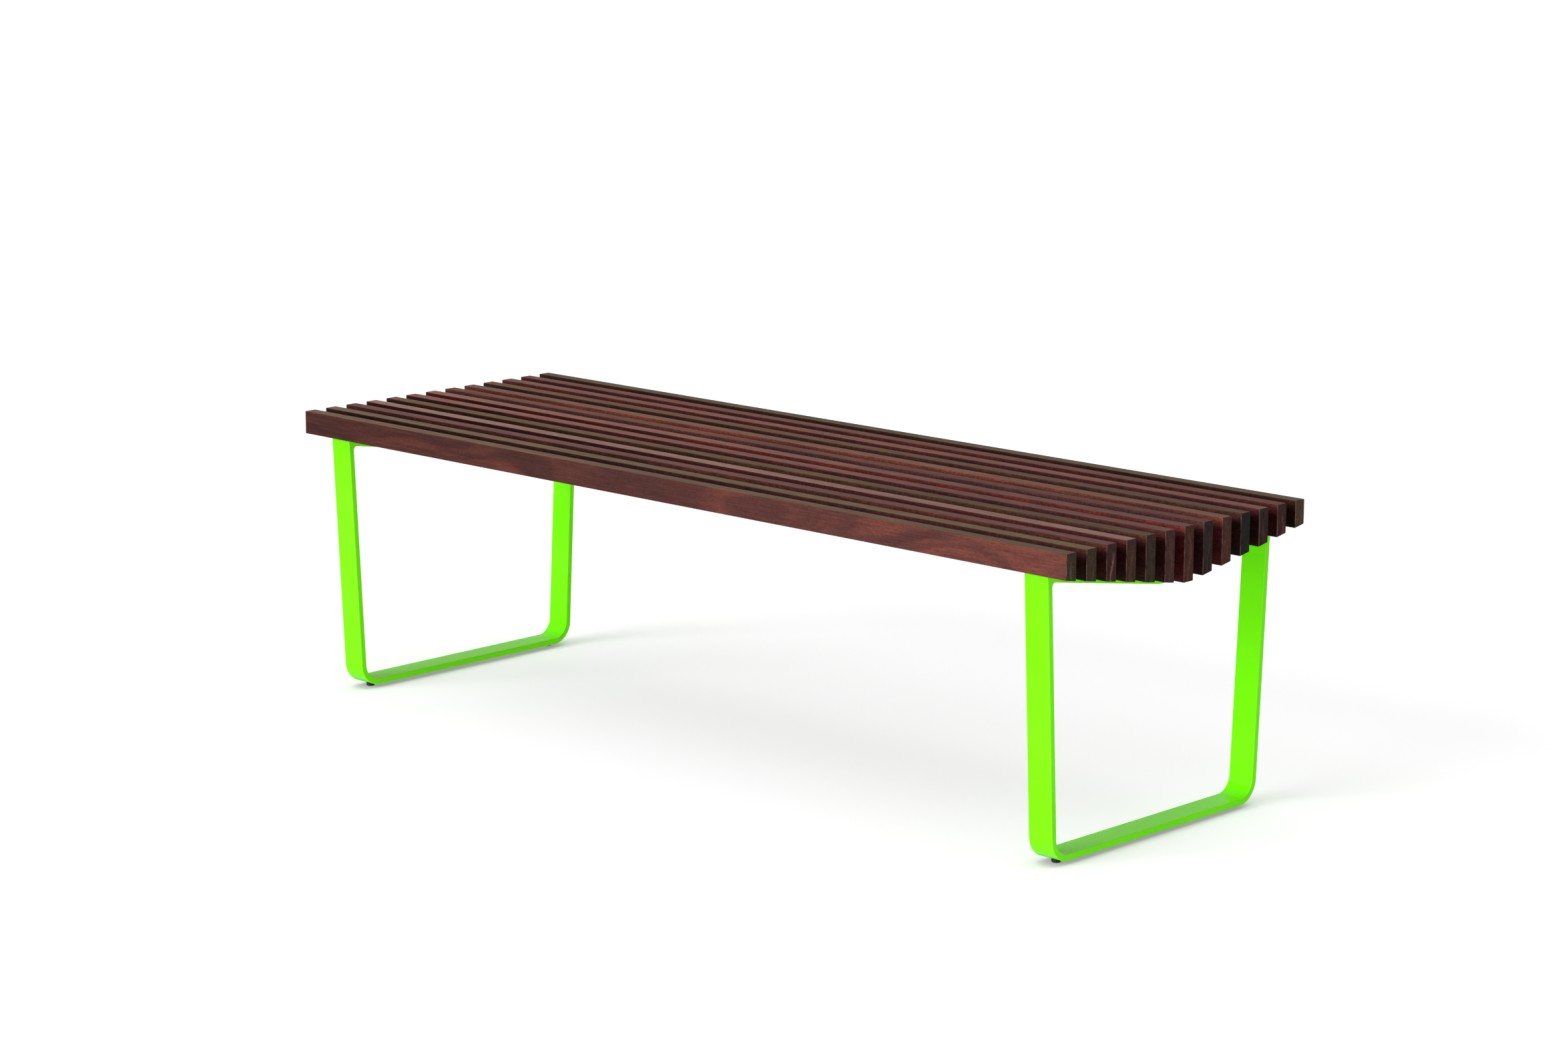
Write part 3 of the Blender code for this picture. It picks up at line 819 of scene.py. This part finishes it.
def screw_profile(gap=0.0, past_head=0.0):
    head_top = SCREW_HEAD_EDGE + SCREW_HEAD_RADIUS - SCREW_RADIUS
    return [
        (0.0, SCREW_LENGTH + gap),
        (SCREW_RADIUS + gap, SCREW_LENGTH - SCREW_TIP + gap),
        (SCREW_RADIUS + gap, head_top + gap),
        (SCREW_HEAD_RADIUS + gap, SCREW_HEAD_EDGE + gap),
        (SCREW_HEAD_RADIUS + gap, -past_head),
        (0.0, -past_head),
    ]


def screw_place(sign, index):
    """Square to the rail, with its head just inside the rail's lower face."""
    centre = slat_centre(index)
    lean = math.copysign(BELLY_ANGLE, centre)
    upwards = Vector((0.0, -math.sin(lean), math.cos(lean)))
    y = centre - upwards.y * (SCREW_LENGTH - RAIL_THICKNESS) / 2
    entry = Vector((sign * FRAME_X, y, belly_z(y) - FIT_GAP))
    head = entry - upwards * (RAIL_THICKNESS - FIT_GAP)
    return Matrix.Translation(head) @ Matrix.Rotation(lean, 4, "X")


def make_screws(steel):
    work = bmesh.new()
    bmesh.ops.create_cone(
        work, cap_ends=True, segments=6, depth=2 * SOCKET_DEPTH,
        radius1=SOCKET_RADIUS, radius2=SOCKET_RADIUS,
    )
    socket = new_object("socket_cutter", mesh_from(work, "socket_cutter"))
    blank = turned("screw_blank", screw_profile())
    mesh = bevelled("wood_screw", blank, SCREW_ROUNDING, [socket])
    bpy.data.objects.remove(socket, do_unlink=True)
    for side, sign in SIDES.items():
        for number, index in enumerate(screwed_slats(), start=1):
            node = f"screw_{side}_{number}"
            place = screw_place(sign, index)
            add_piece(f"{node}_steel", mesh, steel, "stainless_steel", node, place=place)


def plug_profile(radius, top, bottom):
    return [(0.0, top), (radius, top), (radius, bottom), (0.0, bottom)]


def make_bench():
    bore_half = ROD_HALF_LENGTH + FIT_GAP
    bore_radius = ROD_RADIUS + FIT_GAP
    bore = turned("rod_bore", plug_profile(bore_radius, bore_half, -bore_half))
    hole = turned("screw_hole", screw_profile(FIT_GAP, past_head=RAIL_THICKNESS / 2))
    stem_radius, stem_top = GLIDE_STEM_RADIUS + FIT_GAP, GLIDE_STEM_LENGTH + FIT_GAP
    stem = turned("stem_hole", plug_profile(stem_radius, stem_top, -STEM_HOLE_START))
    signs = SIDES.values()
    rods = [along_y(sign * ROD_X, 0.0) for sign in signs]
    screws = [screw_place(sign, index) for sign in signs for index in screwed_slats()]
    cutters = [
        joined_cutter("rod_bore_cutter", bore, rods),
        joined_cutter("screw_hole_cutter", hole, screws),
        joined_cutter("stem_hole_cutter", stem, glide_places().values()),
    ]
    bore_cutter, screw_cutter, stem_cutter = cutters
    coat, nylon, steel = powder_coat_material(), nylon_material(), steel_material()
    make_slats(bore_cutter, screw_cutter)
    make_frames(coat, stem_cutter, screw_cutter)
    make_glides(nylon)
    make_rods_and_spacers(steel, nylon)
    make_screws(steel)
    for cutter in cutters:
        bpy.data.objects.remove(cutter, do_unlink=True)


# Studio: floor, light and camera

FLOOR_HALF_SIZE = 60.0
FLOOR_COLOUR = (0.80, 0.80, 0.80, 1.0)
FLOOR_GLOW = 0.43  # the floor is lit from within as well, so that broad shadows on it stay pale
CONTACT_SHADOW_COLOUR = (0.46, 0.27, 0.50, 1.0)  # painted contact shadow: the floor close under something is darker and less green
CONTACT_SHADOW_GLOW = 0.26
CONTACT_SHADOW_REACH = 0.055
# How open the floor is where its colour or glow is the painted shadow's, and where it is the clear
# one
SHADOW_COLOUR_OPENNESS = (0.15, 0.95)
SHADOW_GLOW_OPENNESS = (0.10, 1.0)
AMBIENT = 0.30
# Broad suns: (strength, turn from the front, height, spread, colour), angles in degrees. They,
# the fill, the ambient light and the floor's glow were set one by one. But for the sheen, their
# strengths are near another program's fit to the photograph.
SUNS = {
    "overhead": (0.80, -10.0, 80.0, 66.0, WHITE[:3]),
    "front": (2.45, -14.0, 20.0, 40.0, WHITE[:3]),
    "right": (0.20, 80.0, 30.0, 60.0, WHITE[:3]),
    "sheen": (0.10, -128.0, 14.0, 44.0, (1.0, 0.88, 0.60)),
}
SUN_DISTANCE = 6.0
FILL_POWER = 10.0
FILL_PLACE = (2.9, -4.2, 1.0)
FILL_AIM = (0.0, 0.0, 0.3)
FILL_SIZE = 1.6

# Where the photograph was taken from, by another program's fit of the bench's edges to it
CAMERA_TURN = math.radians(43.536)
CAMERA_HEIGHT = math.radians(11.577)
CAMERA_ROLL = math.radians(0.172)
CAMERA_DISTANCE = 5.6245
CAMERA_AIM = (0.0166, 0.0, 0.3288)
SENSOR_WIDTH = 36.0
LENS = 89.54


def make_floor():
    work = bmesh.new()
    bmesh.ops.create_grid(work, x_segments=1, y_segments=1, size=FLOOR_HALF_SIZE)
    floor = new_object("floor", mesh_from(work, "floor"))
    shader = Shader("pale_floor", FLOOR_COLOUR)
    # Painted contact shadow: where something stands close over the floor, its colour darkens and
    # its glow fades
    shadow_probe = shader.node("ShaderNodeAmbientOcclusion", {"Distance": CONTACT_SHADOW_REACH}, samples=8)
    clear = shadow_probe.outputs["AO"]
    shader.set(
        Base_Color=shader.mix(shader.ramp(clear, *SHADOW_COLOUR_OPENNESS), CONTACT_SHADOW_COLOUR, FLOOR_COLOUR),
        Roughness=0.9, Specular_IOR_Level=0.0,
        Emission_Color=WHITE,
        Emission_Strength=shader.ramp(clear, *SHADOW_GLOW_OPENNESS, CONTACT_SHADOW_GLOW, FLOOR_GLOW),
    )
    shader.clear_from_behind()
    floor.data.materials.append(shader.material)
    floor.visible_glossy = False


def direction(turn, height):
    """Unit vector from the bench towards a place at this turn from the front and this height."""
    return Vector(
        (math.sin(turn) * math.cos(height), -math.cos(turn) * math.cos(height), math.sin(height))
    )


def aimed(obj, place, towards):
    """Puts the object there, with its -Z pointing along towards and its X level."""
    back = -Vector(towards).normalized()
    right = Vector((0.0, 0.0, 1.0)).cross(back).normalized()
    up = back.cross(right)
    turn = Matrix((right, up, back)).transposed().to_4x4()
    obj.matrix_world = Matrix.Translation(place) @ turn


def make_light():
    world = bpy.data.worlds.new("studio")
    bpy.context.scene.world = world
    world.use_nodes = True
    background = world.node_tree.nodes["Background"]
    background.inputs["Color"].default_value = WHITE
    background.inputs["Strength"].default_value = AMBIENT
    for name, (strength, turn, height, spread, colour) in SUNS.items():
        sun = bpy.data.lights.new(name, "SUN")
        sun.color = colour
        sun.energy = strength
        sun.angle = math.radians(spread)
        towards = direction(math.radians(turn), math.radians(height))
        aimed(new_object(name, sun), towards * SUN_DISTANCE, -towards)
    fill = bpy.data.lights.new("fill", "AREA")
    fill.energy = FILL_POWER
    fill.shape = "DISK"
    fill.size = FILL_SIZE
    aimed(new_object("fill", fill), FILL_PLACE, Vector(FILL_AIM) - Vector(FILL_PLACE))


def make_camera():
    camera = bpy.data.cameras.new("camera")
    camera.sensor_fit = "HORIZONTAL"
    camera.sensor_width = SENSOR_WIDTH
    camera.lens = LENS
    camera.clip_end = 4 * FLOOR_HALF_SIZE
    obj = new_object("camera", camera)
    back = direction(CAMERA_TURN, CAMERA_HEIGHT)
    aimed(obj, Vector(CAMERA_AIM) + back * CAMERA_DISTANCE, -back)
    obj.matrix_world = obj.matrix_world @ Matrix.Rotation(CAMERA_ROLL, 4, "Z")
    bpy.context.scene.camera = obj
    bpy.context.scene.view_settings.view_transform = "Standard"


make_camera()
make_bench()
make_floor()
make_light()
